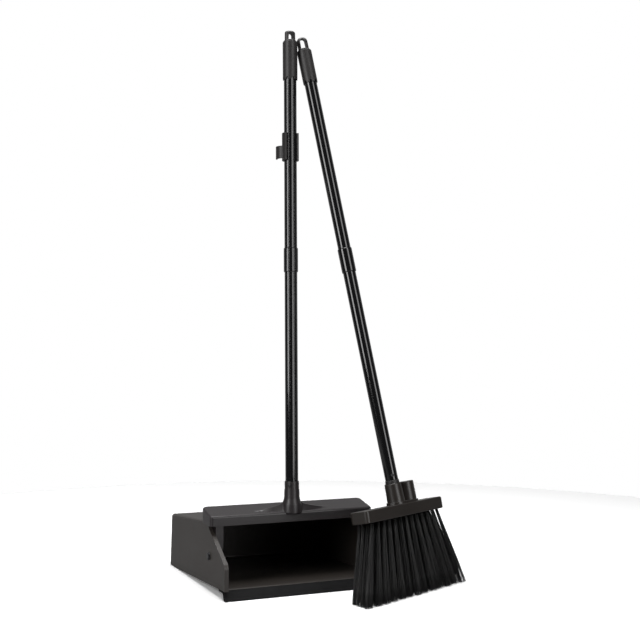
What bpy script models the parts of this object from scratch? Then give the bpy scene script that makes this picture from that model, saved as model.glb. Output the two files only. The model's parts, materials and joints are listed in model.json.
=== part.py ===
"""Upright dust pan with a hinged hood, and a lobby broom that leans on its handle.

Metres, +Z up. The pan is drawn with x = 0 on its centre plane, y = 0 at the tip of its
lip and z = 0 on the floor. The last step slides the whole set along y, so that the
world's origin is under the bin's flat heel, ORIGIN_AHEAD_OF_BACK from its back wall.
"""
import math

import bmesh
import bpy
from mathutils import Matrix, Vector

# Overall sizes
BIN_WIDTH = 0.291
BIN_DEPTH = 0.320
BIN_BACK_HEIGHT = 0.095
HANDLE_TOP = 0.958
BLOCK_LENGTH = 0.210
BROOM_REACH = 0.8270
TUBE_RADIUS = 0.011

# Fits between pieces
GAP = 0.0003
RUNNING_GAP = 0.0008
WALL = 0.0025

# Bin
BIN_FLOOR_RISE = 0.015
HEEL_LENGTH = 0.060
ORIGIN_AHEAD_OF_BACK = 0.040
BIN_BACK_DRAFT = 0.008
BIN_BACK_ROUND = 0.007
BIN_EDGE = 0.0044
RIM_FRONT = 0.004
RIM_SHOULDER = 0.056
RIM_WIDTH = 0.007
RIM_THICK = 0.0025
TOP_PANEL_BEHIND_PIVOT = 0.026
TOP_PANEL_SLOPE = math.radians(5.0)

# Lip strip along the front of the bin's floor
LIP_RAMP = 0.016
LIP_EDGE = 0.001
LIP_TONGUE = 0.018
LIP_TONGUE_THICK = 0.0024

# Pivot between the bin and the hood
PIVOT_Y = 0.085
PIVOT_Z = 0.058
PIN_RADIUS = 0.0030
PIN_HEAD_RADIUS = 0.0066
PIN_HEAD_THICK = 0.0030
PIN_CLIP_RADIUS = 0.0070
PIN_CLIP_THICK = 0.0016

# Hood
HOOD_AHEAD_OF_PIVOT = 0.017
HOOD_BEHIND_PIVOT = 0.034
HOOD_ROOF_FRONT = 0.1255
HOOD_ROOF_BACK = 0.136
HOOD_SKIRT_BOTTOM = 0.109
HOOD_WALL = 0.0023
HOOD_CORNER = 0.009
HOOD_FRONT_CORNER = 0.0052
HOOD_EDGE = 0.0034
ARM_THICK = 0.0026
ARM_FLANGE = 0.0135
ARM_FLANGE_BOTTOM = 0.056
ARM_FLANGE_KNEE = 0.072
ARM_SET_BACK = 0.0055
ARM_EYE_RADIUS = 0.0095

# Socket on the hood, and its gussets
HANDLE_AHEAD_OF_PIVOT = 0.008
HANDLE_RAKE = math.radians(1.45)
SOCKET_SEAT = 0.129
SOCKET_TOP_WALL = 0.0011
SOCKET_WAIST_WALL = 0.0020
SOCKET_BASE_WALL = 0.0062
SOCKET_LENGTH = 0.0475
SOCKET_STEP = 0.0330
GUSSET_REACH = 0.075
GUSSET_RISE = 0.0120
GUSSET_FILLET = 0.0060
GUSSET_FILLET_REACH = 0.0035
GUSSET_STEPS = 14

# Two-piece handle tubes, alike on the pan and the broom
TUBE_WALL = 0.001
SLEEVE_LENGTH = 0.042
SLEEVE_WALL = 0.0011
PLUG_LENGTH = 0.090
PAN_JOINT_HEIGHT = 0.557
BROOM_JOINT_REACH = 0.423

# Grips and hang caps
GRIP_WALL = 0.0016
PAN_GRIP_LENGTH = 0.068
BROOM_GRIP_LENGTH = 0.060
GRIP_FLUTES = 8
CAP_PLUG_DEPTH = 0.022
CAP_FLANGE = 0.0022
CAP_TAB_TAPER = 0.0020
CAP_TAB_THICK = 0.0145
PAN_CAP_ROUND = 0.0040
BROOM_CAP_ROUND = 0.0080
PAN_CAP_HEIGHT = 0.0185
BROOM_CAP_HEIGHT = 0.0245
BROOM_CAP_TURN = math.radians(-40)
CAP_SLOT_WIDTH = 0.0100
CAP_SLOT_TOP = 0.0030

# Clip that holds the broom's handle behind the pan's
CLIP_HEIGHT = 0.754
CLIP_SADDLE_LENGTH = 0.048
CLIP_JAW_LENGTH = 0.022
CLIP_WALL = 0.0034
CLIP_SPACING = 0.031
CLIP_SADDLE_OPENING = math.radians(50)
CLIP_JAW_OPENING = math.radians(58)
CLIP_WEB = 0.012

# Screw in the hood's socket and rivet in the broom's tube
FASTENER_TURN = math.radians(40)
FASTENER_SHANK = 0.0016
FASTENER_HEAD = 0.0030
FASTENER_HEAD_RISE = 0.0014
FASTENER_LENGTH = 0.0075
SCREW_BELOW_TOP = 0.0065
RIVET_ABOVE_COLLAR = 0.0085

# Broom head
BLOCK_THICK = 0.038
BLOCK_HEIGHT = 0.020
BLOCK_END_ROUND = 0.0065
BLOCK_EDGE = 0.0018
BOSS_PAD = 0.004
BOSS_HEIGHT = 0.036
BOSS_TOP_RADIUS = 0.0142
BOSS_BASE_RADIUS = 0.0156
BOSS_SPACING = 0.032
BOSS_OFFSET = -0.001
SOCKET_TILT = math.radians(3.4)
THREAD_RADIUS = 0.0094
THREAD_DEPTH = 0.040
THREAD_PITCH = 0.0050
THREAD_TOOTH = 0.0011
COLLAR_THICK = 0.005
COLLAR_PROUD = 0.0009

# Bristle rows
ROW_COUNT = 4
ROW_SPACING = 0.0088
ROW_STRIP_THICK = 0.0050
ROW_STRIP_DEPTH = 0.0065
TUFTS_PER_ROW = 13
TUFT_SPAN = 0.190
TUFT_ROOT_RADIUS = 0.0023
TIP_SPREAD_LONG = 1.42
TIP_SPREAD_WIDE = 1.15
TIP_DRIFT = -0.004
BLOCK_RISE = 0.143

# Where the broom stands
BROOM_SIDE = 0.002
BROOM_FORWARD = 0.028
BROOM_YAW = math.radians(24.6)

OVERCUT = 0.030
ROUND_SEGMENTS = 32
SMALL_SEGMENTS = 20
ARC_STEPS = 6

# Sizes that follow from the ones above
HALF_BIN = BIN_WIDTH / 2
TOP_PANEL_FRONT = PIVOT_Y + TOP_PANEL_BEHIND_PIVOT
HOOD_FRONT = PIVOT_Y - HOOD_AHEAD_OF_PIVOT
HOOD_BACK = PIVOT_Y + HOOD_BEHIND_PIVOT
HANDLE_Y = PIVOT_Y - HANDLE_AHEAD_OF_PIVOT
HALF_HOOD = HALF_BIN + RUNNING_GAP + HOOD_WALL
ROOF_SLOPE = (HOOD_ROOF_BACK - HOOD_ROOF_FRONT) / (HOOD_BACK - HOOD_FRONT)
GRIP_RADIUS = TUBE_RADIUS + GAP + GRIP_WALL
TUBE_BORE = TUBE_RADIUS - TUBE_WALL
PLUG_RADIUS = TUBE_BORE - GAP
SOCKET_BORE = TUBE_RADIUS + GAP
SOCKET_TOP_RADIUS = SOCKET_BORE + SOCKET_TOP_WALL
SOCKET_WAIST_RADIUS = SOCKET_BORE + SOCKET_WAIST_WALL
SOCKET_BASE_RADIUS = SOCKET_BORE + SOCKET_BASE_WALL
COLLAR_RADIUS = TUBE_RADIUS + COLLAR_PROUD
CAP_TAB_WIDTH = 2 * TUBE_RADIUS - 0.001
CAP_TAB_TOP_WIDTH = CAP_TAB_WIDTH - CAP_TAB_TAPER
BORE_RADIUS = THREAD_RADIUS + 0.0004
HANDLE_LENGTH = (HANDLE_TOP - SOCKET_SEAT) / math.cos(HANDLE_RAKE)
PIN_HOLE = PIN_RADIUS + 0.00035
HALF_FACET = Matrix.Rotation(math.pi / ROUND_SEGMENTS, 4, "Z")
ARM_INSIDE = HALF_BIN - RIM_WIDTH - RUNNING_GAP


def clear_scene():
    for obj in list(bpy.data.objects):
        bpy.data.objects.remove(obj, do_unlink=True)


# ---------------------------------------------------------------- materials

def make_material(name, colour, roughness, metallic=0.0):
    material = bpy.data.materials.new(name)
    material.use_nodes = True
    shader = material.node_tree.nodes["Principled BSDF"]
    shader.inputs["Base Color"].default_value = (*colour, 1.0)
    shader.inputs["Roughness"].default_value = roughness
    shader.inputs["Metallic"].default_value = metallic
    material.diffuse_color = (*colour, 1.0)
    return material


def make_materials():
    return {
        "bin_plastic": make_material("bin_plastic", (0.030, 0.029, 0.028), 0.45),
        "hood_plastic": make_material("hood_plastic", (0.028, 0.026, 0.026), 0.40),
        "lip_rubber": make_material("lip_rubber", (0.040, 0.040, 0.040), 0.60),
        "tube_paint": make_material("tube_paint", (0.010, 0.010, 0.011), 0.15),
        "grip_plastic": make_material("grip_plastic", (0.032, 0.030, 0.030), 0.50),
        "block_plastic": make_material("block_plastic", (0.026, 0.024, 0.022), 0.38),
        "bristle": make_material("bristle", (0.014, 0.014, 0.015), 0.35),
        "dark_steel": make_material("dark_steel", (0.080, 0.080, 0.085), 0.35, 1.0),
    }


# ------------------------------------------------------------------ outlines

def arc(centre, radius, start, end, steps=ARC_STEPS):
    """Points along an arc, both ends included."""
    points = []
    for step in range(steps + 1):
        angle = start + (end - start) * step / steps
        points.append((centre[0] + radius * math.cos(angle), centre[1] + radius * math.sin(angle)))
    return points


def rounded(corners, steps=ARC_STEPS):
    """A closed outline whose corners, given as (u, v, radius), are rounded."""
    points = []
    count = len(corners)
    for index in range(count):
        before = Vector(corners[index - 1][:2])
        corner = Vector(corners[index][:2])
        after = Vector(corners[(index + 1) % count][:2])
        radius = corners[index][2]
        if radius <= 0:
            points.append(tuple(corner))
            continue
        to_before = (before - corner).normalized()
        to_after = (after - corner).normalized()
        half = to_before.angle(to_after) / 2
        reach = radius / math.tan(half)
        centre = corner + (to_before + to_after).normalized() * (radius / math.sin(half))
        first = corner + to_before * reach - centre
        sweep = math.pi - 2 * half
        if to_before.cross(to_after) > 0:
            sweep = -sweep
        start = math.atan2(first.y, first.x)
        points.extend(arc(centre, radius, start, start + sweep, steps))
    return points


# -------------------------------------------------------------------- solids

def finish_mesh(bm, name, material, smooth_angle=None):
    bmesh.ops.recalc_face_normals(bm, faces=bm.faces)
    mesh = bpy.data.meshes.new(name)
    bm.to_mesh(mesh)
    bm.free()
    if smooth_angle is not None:
        mesh.shade_smooth()
        mesh.set_sharp_from_angle(angle=smooth_angle)
    if material is not None:
        mesh.materials.append(material)
    obj = bpy.data.objects.new(name, mesh)
    bpy.context.scene.collection.objects.link(obj)
    return obj


def prism(name, outline, low, high, material=None, place=None):
    """An outline of (y, z) points, extruded along x from low to high."""
    bm = bmesh.new()
    base = [bm.verts.new((low, y, z)) for y, z in outline]
    face = bm.faces.new(base)
    swept = bmesh.ops.extrude_face_region(bm, geom=[face])
    moved = [item for item in swept["geom"] if isinstance(item, bmesh.types.BMVert)]
    bmesh.ops.translate(bm, verts=moved, vec=(high - low, 0, 0))
    if place is not None:
        bmesh.ops.transform(bm, matrix=place, verts=bm.verts)
    return finish_mesh(bm, name, material)


def turned(name, profile, material=None, segments=ROUND_SEGMENTS, place=None):
    """A profile of (radius, z) points turned about z; a radius of 0 makes a pole.

    The profile is closed by its own last point, or by two poles.
    """
    bm = bmesh.new()
    rings = []
    for radius, z in profile:
        if radius == 0:
            rings.append([bm.verts.new((0, 0, z))])
            continue
        ring = []
        for step in range(segments):
            angle = 2 * math.pi * step / segments
            ring.append(bm.verts.new((radius * math.cos(angle), radius * math.sin(angle), z)))
        rings.append(ring)
    if profile[0][0] != 0:
        rings.append(rings[0])
    for lower, upper in zip(rings, rings[1:]):
        join_rings(bm, lower, upper, segments)
    if place is not None:
        bmesh.ops.transform(bm, matrix=place, verts=bm.verts)
    return finish_mesh(bm, name, material, math.radians(35))


def join_rings(bm, lower, upper, segments):
    for step in range(segments):
        after = (step + 1) % segments
        if len(lower) == 1:
            bm.faces.new((lower[0], upper[step], upper[after]))
        elif len(upper) == 1:
            bm.faces.new((lower[step], upper[0], lower[after]))
        else:
            bm.faces.new((lower[step], upper[step], upper[after], lower[after]))


def hull(name, points, material=None):
    bm = bmesh.new()
    verts = [bm.verts.new(point) for point in points]
    result = bmesh.ops.convex_hull(bm, input=verts)
    unused = set(result["geom_interior"]) | set(result["geom_unused"])
    bmesh.ops.delete(bm, geom=[item for item in unused if isinstance(item, bmesh.types.BMVert)], context="VERTS")
    return finish_mesh(bm, name, material)


def combine(obj, tool, operation):
    """Adds a Boolean with a tool that shares the object's parent, and hides the tool."""
    modifier = obj.modifiers.new(tool.name, "BOOLEAN")
    modifier.operation = operation
    modifier.solver = "EXACT"
    modifier.object = tool
    tool.hide_render = True
    tool.display_type = "WIRE"
    tool.parent = obj
    return obj


def cut(obj, tool):
    return combine(obj, tool, "DIFFERENCE")


def fuse(obj, tool):
    return combine(obj, tool, "UNION")


def round_edges(obj, chosen, width, segments=3):
    """Bevels the edges of a plain mesh for which chosen(middle, direction) is true."""
    bm = bmesh.new()
    bm.from_mesh(obj.data)
    edges = []
    for edge in bm.edges:
        start, end = (vert.co for vert in edge.verts)
        if chosen((start + end) / 2, (end - start).normalized()):
            edges.append(edge)
    bmesh.ops.bevel(bm, geom=edges, offset=width, segments=segments, profile=0.5, affect="EDGES")
    bm.to_mesh(obj.data)
    bm.free()


def empty(name, matrix, parent=None):
    obj = bpy.data.objects.new(name, None)
    bpy.context.scene.collection.objects.link(obj)
    obj.parent = parent
    obj.matrix_local = matrix
    return obj


def attach(obj, parent, offset=(0, 0, 0)):
    obj.parent = parent
    obj.location = offset
    return obj


def side_turn(side, x, y, z):
    """Turns a z-axis solid so that its +z points inwards from the pan's left or right side."""
    turn = Matrix.Rotation(math.radians(90) * -side, 4, "Y")
    return Matrix.Translation((side * x, y, z)) @ turn


# ----------------------------------------------------------------------- bin

def floor_underside(y):
    """Height of the bin's underside: flat at the heel, rising towards the lip."""
    heel = BIN_DEPTH - HEEL_LENGTH
    if y >= heel:
        return 0.0
    share = min((heel - y) / (heel - LIP_RAMP), 1.0)
    return BIN_FLOOR_RISE * share


def top_panel(y):
    """Height of the bin's top panel, which climbs towards the hood."""
    run = BIN_DEPTH - BIN_BACK_DRAFT - y
    return BIN_BACK_HEIGHT + run * math.tan(TOP_PANEL_SLOPE)


def rim_line(inset):
    """The side wall's front edge, from its foot to under the hood, moved in by inset."""
    crown_z = top_panel(TOP_PANEL_FRONT)
    foot = floor_underside(0)
    return [
        (RIM_FRONT + inset, foot, 0),
        (RIM_FRONT + inset, RIM_SHOULDER - inset * 0.4, 0.012),
        (PIVOT_Y - 0.013 + inset * 0.5, PIVOT_Z + 0.037 - inset * 0.9, 0.020),
        (PIVOT_Y + 0.001 + inset, crown_z - 0.010, 0.004),
        (PIVOT_Y + 0.006 + inset, crown_z, 0),
    ]


def bin_outline():
    crown_z = top_panel(TOP_PANEL_FRONT)
    back = BIN_DEPTH
    heel = BIN_DEPTH - HEEL_LENGTH
    return rounded(rim_line(0.0) + [
        (TOP_PANEL_FRONT, crown_z, 0),
        (back - BIN_BACK_DRAFT, BIN_BACK_HEIGHT, BIN_BACK_ROUND),
        (back, 0, BIN_BACK_ROUND),
        (heel, 0, 0),
        (LIP_RAMP, floor_underside(LIP_RAMP), 0),
    ])


def bin_hollow_outline():
    """The bin's hollow behind its rim, open at the top ahead of the top panel."""
    crown_z = top_panel(TOP_PANEL_FRONT)
    inner_back = BIN_DEPTH - WALL
    floor_front = floor_underside(0) + WALL
    heel = BIN_DEPTH - HEEL_LENGTH
    mouth = rim_line(RIM_THICK)
    mouth[0] = (mouth[0][0], floor_front, 0)
    mouth[-1] = (mouth[-1][0], crown_z + OVERCUT, 0)
    return rounded(mouth + [
        (TOP_PANEL_FRONT, crown_z + OVERCUT, 0),
        (TOP_PANEL_FRONT, crown_z - WALL, 0),
        (inner_back - BIN_BACK_DRAFT, BIN_BACK_HEIGHT - WALL, BIN_BACK_ROUND - WALL),
        (inner_back, WALL, BIN_BACK_ROUND - WALL),
        (heel, WALL, 0),
        (LIP_RAMP + WALL, floor_front, 0),
    ])


def bin_mouth():
    """Opens the front between the two rims, which stay along the side walls' edges."""
    sill = floor_underside(0) + WALL + 0.0002
    above = top_panel(TOP_PANEL_FRONT) + OVERCUT + 0.001
    back = TOP_PANEL_FRONT - 0.010
    inside = HALF_BIN - RIM_WIDTH
    return prism("bin_mouth", [(-OVERCUT, sill), (-OVERCUT, above), (back, above), (back, sill)], -inside, inside)


def build_bin(materials):
    bin_body = prism("pan_bin", bin_outline(), -HALF_BIN, HALF_BIN, materials["bin_plastic"])
    round_edges(bin_body, is_outer_bin_edge, BIN_EDGE)
    hollow = prism("bin_hollow", bin_hollow_outline(), -HALF_BIN + WALL, HALF_BIN - WALL)
    round_edges(hollow, lambda middle, way: abs(way.x) < 0.5 and middle.y > TOP_PANEL_FRONT, BIN_EDGE - WALL)
    cut(bin_body, hollow)
    cut(bin_body, bin_mouth())
    for side, label in ((-1, "left"), (1, "right")):
        hole = turned(f"bin_pin_hole_{label}", rod(PIN_HOLE, -0.005, 0.015),
                      segments=SMALL_SEGMENTS, place=side_turn(side, HALF_BIN, PIVOT_Y, PIVOT_Z))
        cut(bin_body, hole)
    cut(bin_body, lip_room())
    return bin_body


def is_outer_bin_edge(middle, way):
    """The long edges that run round the outside of the side walls, behind the hood."""
    return abs(way.x) < 0.5 and middle.y > HOOD_BACK + 0.004 and middle.z > 0.004


def lip_room():
    """Chamfers the floor's front edge so that it carries on the lip's ramp."""
    rise = floor_underside(0)
    outline = [
        (-0.010, rise - 0.004),
        (LIP_RAMP - 0.0004, rise - 0.004),
        (LIP_RAMP - 0.0004, rise + 0.0004),
        (LIP_RAMP + 0.0045, rise + WALL + 0.0005),
        (LIP_RAMP + 0.0045, rise + WALL + 0.004),
        (-0.010, rise + WALL + 0.004),
    ]
    inside = HALF_BIN - RIM_WIDTH
    return prism("lip_room", outline, -inside, inside)


def rod(radius, low, high):
    """The profile of a plain solid rod."""
    return [(0, low), (radius, low), (radius, high), (0, high)]


def build_lip(materials):
    """Soft strip: a ramp down to the floor, with a tongue under the bin's floor."""
    rise = floor_underside(0) - GAP
    back = LIP_RAMP + LIP_TONGUE
    tongue_top = floor_underside(back) - GAP
    outline = [
        (0, 0),
        (0, LIP_EDGE),
        (LIP_RAMP - 0.0008, rise),
        (LIP_RAMP, rise),
        (back, tongue_top),
        (back, tongue_top - LIP_TONGUE_THICK),
        (LIP_RAMP - 0.002, tongue_top - LIP_TONGUE_THICK),
        (0.0085, 0),
    ]
    return prism("pan_lip", outline, -HALF_BIN, HALF_BIN, materials["lip_rubber"])


def build_pins(materials):
    """The two pivot pins, pushed in from outside, and their clips inside the hood's arms."""
    shank = RIM_WIDTH + RUNNING_GAP + ARM_THICK + GAP + PIN_CLIP_THICK + 0.0015
    for side, label in ((-1, "left"), (1, "right")):
        place = side_turn(side, HALF_BIN, PIVOT_Y, PIVOT_Z)
        head = -GAP - PIN_HEAD_THICK
        pin = turned(f"pivot_pin_{label}", [
            (0, head),
            (PIN_HEAD_RADIUS * 0.72, head),
            (PIN_HEAD_RADIUS * 0.94, head + PIN_HEAD_THICK * 0.3),
            (PIN_HEAD_RADIUS, -GAP),
            (PIN_RADIUS, -GAP),
            (PIN_RADIUS, shank - 0.0008),
            (PIN_RADIUS - 0.0008, shank),
            (0, shank),
        ], materials["dark_steel"], SMALL_SEGMENTS, place)
        low = RIM_WIDTH + RUNNING_GAP + ARM_THICK + GAP
        high = low + PIN_CLIP_THICK
        bore = PIN_HOLE
        clip = turned(f"pivot_clip_{label}", [
            (bore, low),
            (PIN_CLIP_RADIUS, low),
            (PIN_CLIP_RADIUS, high - 0.0006),
            (bore + 0.0012, high),
            (bore, high),
        ], materials["dark_steel"], SMALL_SEGMENTS, place)
        yield pin
        yield clip


# ---------------------------------------------------------------------- hood

def roof(y):
    return HOOD_ROOF_FRONT + (y - HOOD_FRONT) * ROOF_SLOPE


def hood_box(name, shrink, low, edge, material=None):
    """A box with the hood's plan, a sloping roof and rounded roof edges."""
    bm = bmesh.new()
    rings = []
    ceiling = shrink * math.hypot(1, ROOF_SLOPE)
    for inset, drop in [(0, None)] + [round_over(edge, step) for step in range(4)]:
        ring = []
        for x, y in hood_plan(shrink + inset):
            z = low if drop is None else roof(y) - ceiling - drop
            ring.append(bm.verts.new((x, y, z)))
        rings.append(ring)
    for lower, upper in zip(rings, rings[1:]):
        join_rings(bm, lower, upper, len(lower))
    bm.faces.new(rings[0])
    bm.faces.new(rings[-1])
    return finish_mesh(bm, name, material)


def round_over(edge, step):
    """Inset and drop of one step round a rounded edge."""
    angle = math.radians(30 * step)
    return edge * (1 - math.cos(angle)), edge * (1 - math.sin(angle))


def hood_plan(inset):
    half = HALF_HOOD - inset
    front = HOOD_FRONT + inset
    back = HOOD_BACK - inset
    front_round = max(HOOD_FRONT_CORNER - inset, 0.0004)
    back_round = HOOD_CORNER - inset
    return rounded([
        (-half, front, front_round),
        (half, front, front_round),
        (half, back, back_round),
        (-half, back, back_round),
    ])


def hood_stop():
    """Trims the rear skirt to the slope of the bin's top panel, which it rests on."""
    front = TOP_PANEL_FRONT - 0.004
    back = HOOD_BACK + 0.010
    low = HOOD_SKIRT_BOTTOM - 0.020
    half = HALF_HOOD - HOOD_WALL
    return prism("hood_stop", [
        (front, low),
        (front, top_panel(front) + GAP),
        (back, top_panel(back) + GAP),
        (back, low),
    ], -half, half)


def arm_parts(side, label):
    """An arm from the roof down to the pivot, with a forward-facing flange and an eye."""
    outer = side * ARM_INSIDE
    inner = side * (ARM_INSIDE - ARM_THICK)
    low, high = sorted((outer, inner))
    front = HOOD_FRONT + ARM_SET_BACK
    eye_top = roof(PIVOT_Y) - HOOD_WALL * 0.5
    eye = arc((PIVOT_Y, PIVOT_Z), ARM_EYE_RADIUS, math.radians(-5), math.radians(-160), 12)
    plate = prism(f"arm_plate_{label}", [
        (front, roof(front) - HOOD_WALL * 0.5),
        (PIVOT_Y + 0.018, eye_top + 0.018 * ROOF_SLOPE),
        (PIVOT_Y + 0.013, PIVOT_Z + 0.020),
        *eye,
        (front, ARM_FLANGE_BOTTOM),
    ], low, high)
    flange_front = front + 0.0003
    flange = hull(f"arm_flange_{label}", [
        (side * (ARM_INSIDE - reach), y, z)
        for y in (flange_front, flange_front + ARM_THICK)
        for reach, z in (
            (ARM_THICK * 0.5, ARM_FLANGE_BOTTOM + 0.001),
            (ARM_THICK * 0.5, roof(y) - HOOD_WALL * 0.7),
            (ARM_FLANGE, roof(y) - HOOD_WALL * 0.7),
            (ARM_FLANGE, ARM_FLANGE_KNEE),
            (ARM_THICK + 0.001, ARM_FLANGE_BOTTOM + 0.001),
        )
    ])
    boss_outer = HALF_BIN - WALL - RUNNING_GAP
    boss = turned(f"arm_boss_{label}", rod(0.0072, 0, boss_outer - ARM_INSIDE + 0.001),
                  segments=SMALL_SEGMENTS, place=side_turn(side, boss_outer, PIVOT_Y, PIVOT_Z))
    return [plate, flange, boss]


def socket_body(handle_frame):
    """The tapered socket, drawn along the handle's own axis."""
    base = HOOD_ROOF_FRONT - SOCKET_SEAT - 0.004
    top = SOCKET_LENGTH
    return turned("socket_body", [
        (0, base),
        (SOCKET_BASE_RADIUS - 0.0015, base),
        (SOCKET_BASE_RADIUS, base + 0.0025),
        (SOCKET_BASE_RADIUS - 0.0006, 0.0085),
        (SOCKET_BASE_RADIUS - 0.0018, 0.0110),
        (SOCKET_WAIST_RADIUS + 0.0012, 0.0150),
        (SOCKET_WAIST_RADIUS, 0.0200),
        (SOCKET_WAIST_RADIUS - 0.0002, SOCKET_STEP),
        (SOCKET_TOP_RADIUS, SOCKET_STEP + 0.0014),
        (SOCKET_TOP_RADIUS, top - 0.0008),
        (SOCKET_TOP_RADIUS - 0.0005, top),
        (0, top),
    ], place=handle_frame)


def gusset_height(x):
    """Height of a gusset's ridge over the roof: a long slope, and a fillet at the socket."""
    run = max(x - SOCKET_WAIST_RADIUS, 0.0)
    slope = GUSSET_RISE * (1 - run / (GUSSET_REACH - SOCKET_WAIST_RADIUS)) ** 1.4
    return slope + GUSSET_FILLET * math.exp(-run / GUSSET_FILLET_REACH)


def gusset(side, label):
    """A ridge from the socket down to the roof, as wide at its root as the roof is deep."""
    root = SOCKET_WAIST_RADIUS - 0.005
    ridge_half = 0.0015
    sink = HOOD_WALL * 0.6
    bm = bmesh.new()
    rings = []
    for step in range(GUSSET_STEPS + 1):
        share = (step / GUSSET_STEPS) ** 2
        x = root + (GUSSET_REACH - root) * share
        ridge = HANDLE_Y + 0.006 * share
        front = HOOD_FRONT + 0.002 + (ridge - 0.006 - HOOD_FRONT) * share
        back = HANDLE_Y + 0.026 - 0.016 * share
        top = gusset_height(x) - 0.0005 * share
        section = [
            (front, roof(front) - sink),
            (ridge - ridge_half, roof(ridge - ridge_half) + top),
            (ridge + ridge_half, roof(ridge + ridge_half) + top),
            (back, roof(back) - sink),
        ]
        rings.append([bm.verts.new((side * x, y, z)) for y, z in section])
    for lower, upper in zip(rings, rings[1:]):
        join_rings(bm, lower, upper, len(lower))
    bm.faces.new(rings[0])
    bm.faces.new(rings[-1])
    return finish_mesh(bm, f"gusset_{label}", None)


def build_hood(materials, handle_frame):
    hood = hood_box("hood", 0, HOOD_SKIRT_BOTTOM, HOOD_EDGE, materials["hood_plastic"])
    cut(hood, hood_box("hood_hollow", HOOD_WALL, HOOD_SKIRT_BOTTOM - 0.010, HOOD_EDGE * 0.5))
    cut(hood, hood_stop())
    for side, label in ((-1, "left"), (1, "right")):
        for piece in arm_parts(side, label):
            fuse(hood, piece)
        hole = turned(f"arm_pin_hole_{label}", rod(PIN_HOLE, -0.001, 0.020), segments=SMALL_SEGMENTS,
                      place=side_turn(side, HALF_BIN, PIVOT_Y, PIVOT_Z))
        cut(hood, hole)
    fuse(hood, socket_body(handle_frame))
    for side, label in ((-1, "left"), (1, "right")):
        fuse(hood, gusset(side, label))
    cut(hood, turned("socket_bore", rod(SOCKET_BORE, 0, SOCKET_LENGTH + 0.01), place=handle_frame @ HALF_FACET))
    cut(hood, fastener_hole("hood_screw_hole", SOCKET_LENGTH - SCREW_BELOW_TOP, handle_frame))
    return hood


# ----------------------------------------------------------- handles and caps

def fastener_frame(height):
    """A frame on the handle's axis whose +z points out to the front left."""
    turn = Matrix.Rotation(-FASTENER_TURN, 4, "Z") @ Matrix.Rotation(math.radians(90), 4, "X")
    return Matrix.Translation((0, 0, height)) @ turn


def fastener_hole(name, height, frame=None):
    place = fastener_frame(height)
    if frame is not None:
        place = frame @ place
    hole = rod(FASTENER_SHANK + 0.0004, TUBE_RADIUS - FASTENER_LENGTH - GAP, TUBE_RADIUS + 0.006)
    return turned(name, hole, segments=SMALL_SEGMENTS, place=place)


def fastener(name, height, seat, material, frame):
    """A domed head that sits on a round wall of radius seat, with a shank inwards."""
    low = TUBE_RADIUS - FASTENER_LENGTH
    piece = turned(name, [
        (0, low),
        (FASTENER_SHANK * 0.6, low),
        (FASTENER_SHANK, low + 0.001),
        (FASTENER_SHANK, seat + GAP),
        (FASTENER_HEAD, seat + GAP),
        (FASTENER_HEAD * 0.9, seat + FASTENER_HEAD_RISE * 0.6),
        (FASTENER_HEAD * 0.5, seat + FASTENER_HEAD_RISE),
        (0, seat + FASTENER_HEAD_RISE),
    ], material, SMALL_SEGMENTS, fastener_frame(height))
    return attach(piece, frame)


def tube(name, low, high, material, frame):
    edge = 0.0003
    piece = turned(name, [
        (TUBE_BORE, low),
        (TUBE_RADIUS - edge, low),
        (TUBE_RADIUS, low + edge),
        (TUBE_RADIUS, high - edge),
        (TUBE_RADIUS - edge, high),
        (TUBE_BORE, high),
    ], material)
    return attach(piece, frame)


def sleeve(name, middle, material, frame):
    """The outer ferrule over the joint, its ends rolled down to the tube."""
    bore = TUBE_RADIUS + GAP
    outside = bore + SLEEVE_WALL
    low = middle - SLEEVE_LENGTH / 2
    high = middle + SLEEVE_LENGTH / 2
    piece = turned(name, [
        (bore, low),
        (outside - 0.0006, low),
        (outside, low + 0.0012),
        (outside, high - 0.0012),
        (outside - 0.0006, high),
        (bore, high),
    ], material)
    return attach(piece, frame)


def joint_plug(name, middle, material, frame):
    """The ribbed plug inside both tubes, with a waist ring between their ends."""
    low = middle - PLUG_LENGTH / 2
    high = middle + PLUG_LENGTH / 2
    ring = 0.0010
    profile = [(0, low), (PLUG_RADIUS - 0.001, low), (PLUG_RADIUS, low + 0.002)]
    profile += [(PLUG_RADIUS, middle - ring), (TUBE_RADIUS, middle - ring)]
    profile += [(TUBE_RADIUS, middle + ring), (PLUG_RADIUS, middle + ring)]
    profile += [(PLUG_RADIUS, high - 0.002), (PLUG_RADIUS - 0.001, high), (0, high)]
    return attach(turned(name, profile, material), frame)


def two_piece_handle(prefix, low, joint, high, materials, frame):
    """Two tubes that meet inside a sleeve, over a plug."""
    seam = 0.0010 + GAP
    lower = tube(f"{prefix}_lower_tube", low, joint - seam, materials["tube_paint"], frame)
    upper = tube(f"{prefix}_upper_tube", joint + seam, high, materials["tube_paint"], frame)
    ring = sleeve(f"{prefix}_tube_sleeve", joint, materials["tube_paint"], frame)
    plug = joint_plug(f"{prefix}_joint_plug", joint, materials["grip_plastic"], frame)
    return lower, upper, ring, plug


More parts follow.
